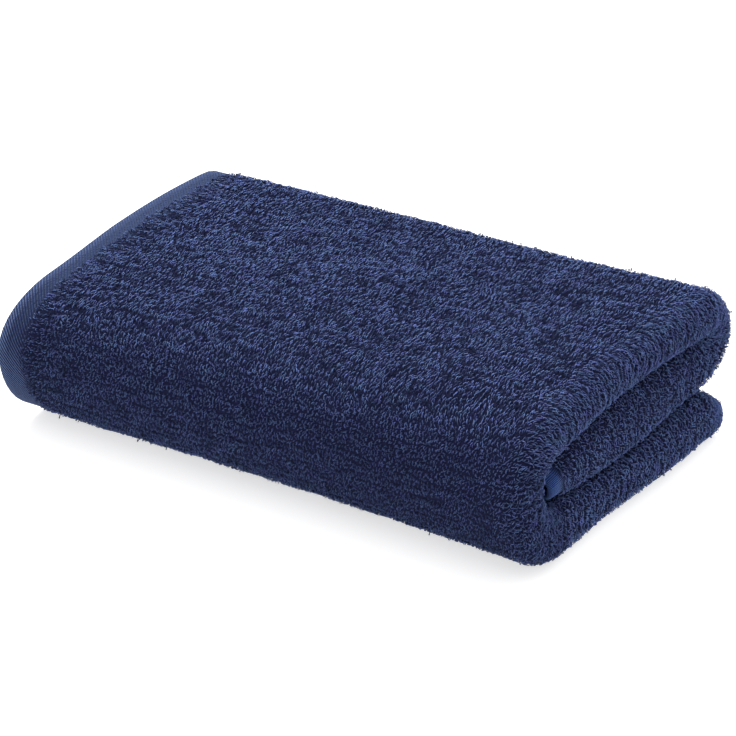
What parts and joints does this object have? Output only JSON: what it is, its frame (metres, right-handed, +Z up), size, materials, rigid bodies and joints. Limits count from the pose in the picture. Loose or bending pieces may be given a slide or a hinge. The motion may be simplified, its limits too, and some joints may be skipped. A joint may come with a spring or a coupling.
{
  "type": "folded hand towel",
  "caption": "Terry hand towel folded into a soft oblong bundle with a rounded front fold, layered fold ends and a flat-woven hem, to lie on a shelf or in a stack.",
  "frame": {"origin": "centre of the bundle's outline on the surface it lies on", "axes": "+X from the hem end to the crosswise fold, -Y towards the long front fold, +Z up"},
  "size_m": [0.2582, 0.1676, 0.0713],
  "materials": {
    "terry": "navy cotton terry, uncut loop pile on both faces, flat-woven hems and side bands"
  },
  "bodies": {
    "root": {"towel": "terry"}
  },
  "joints": []
}
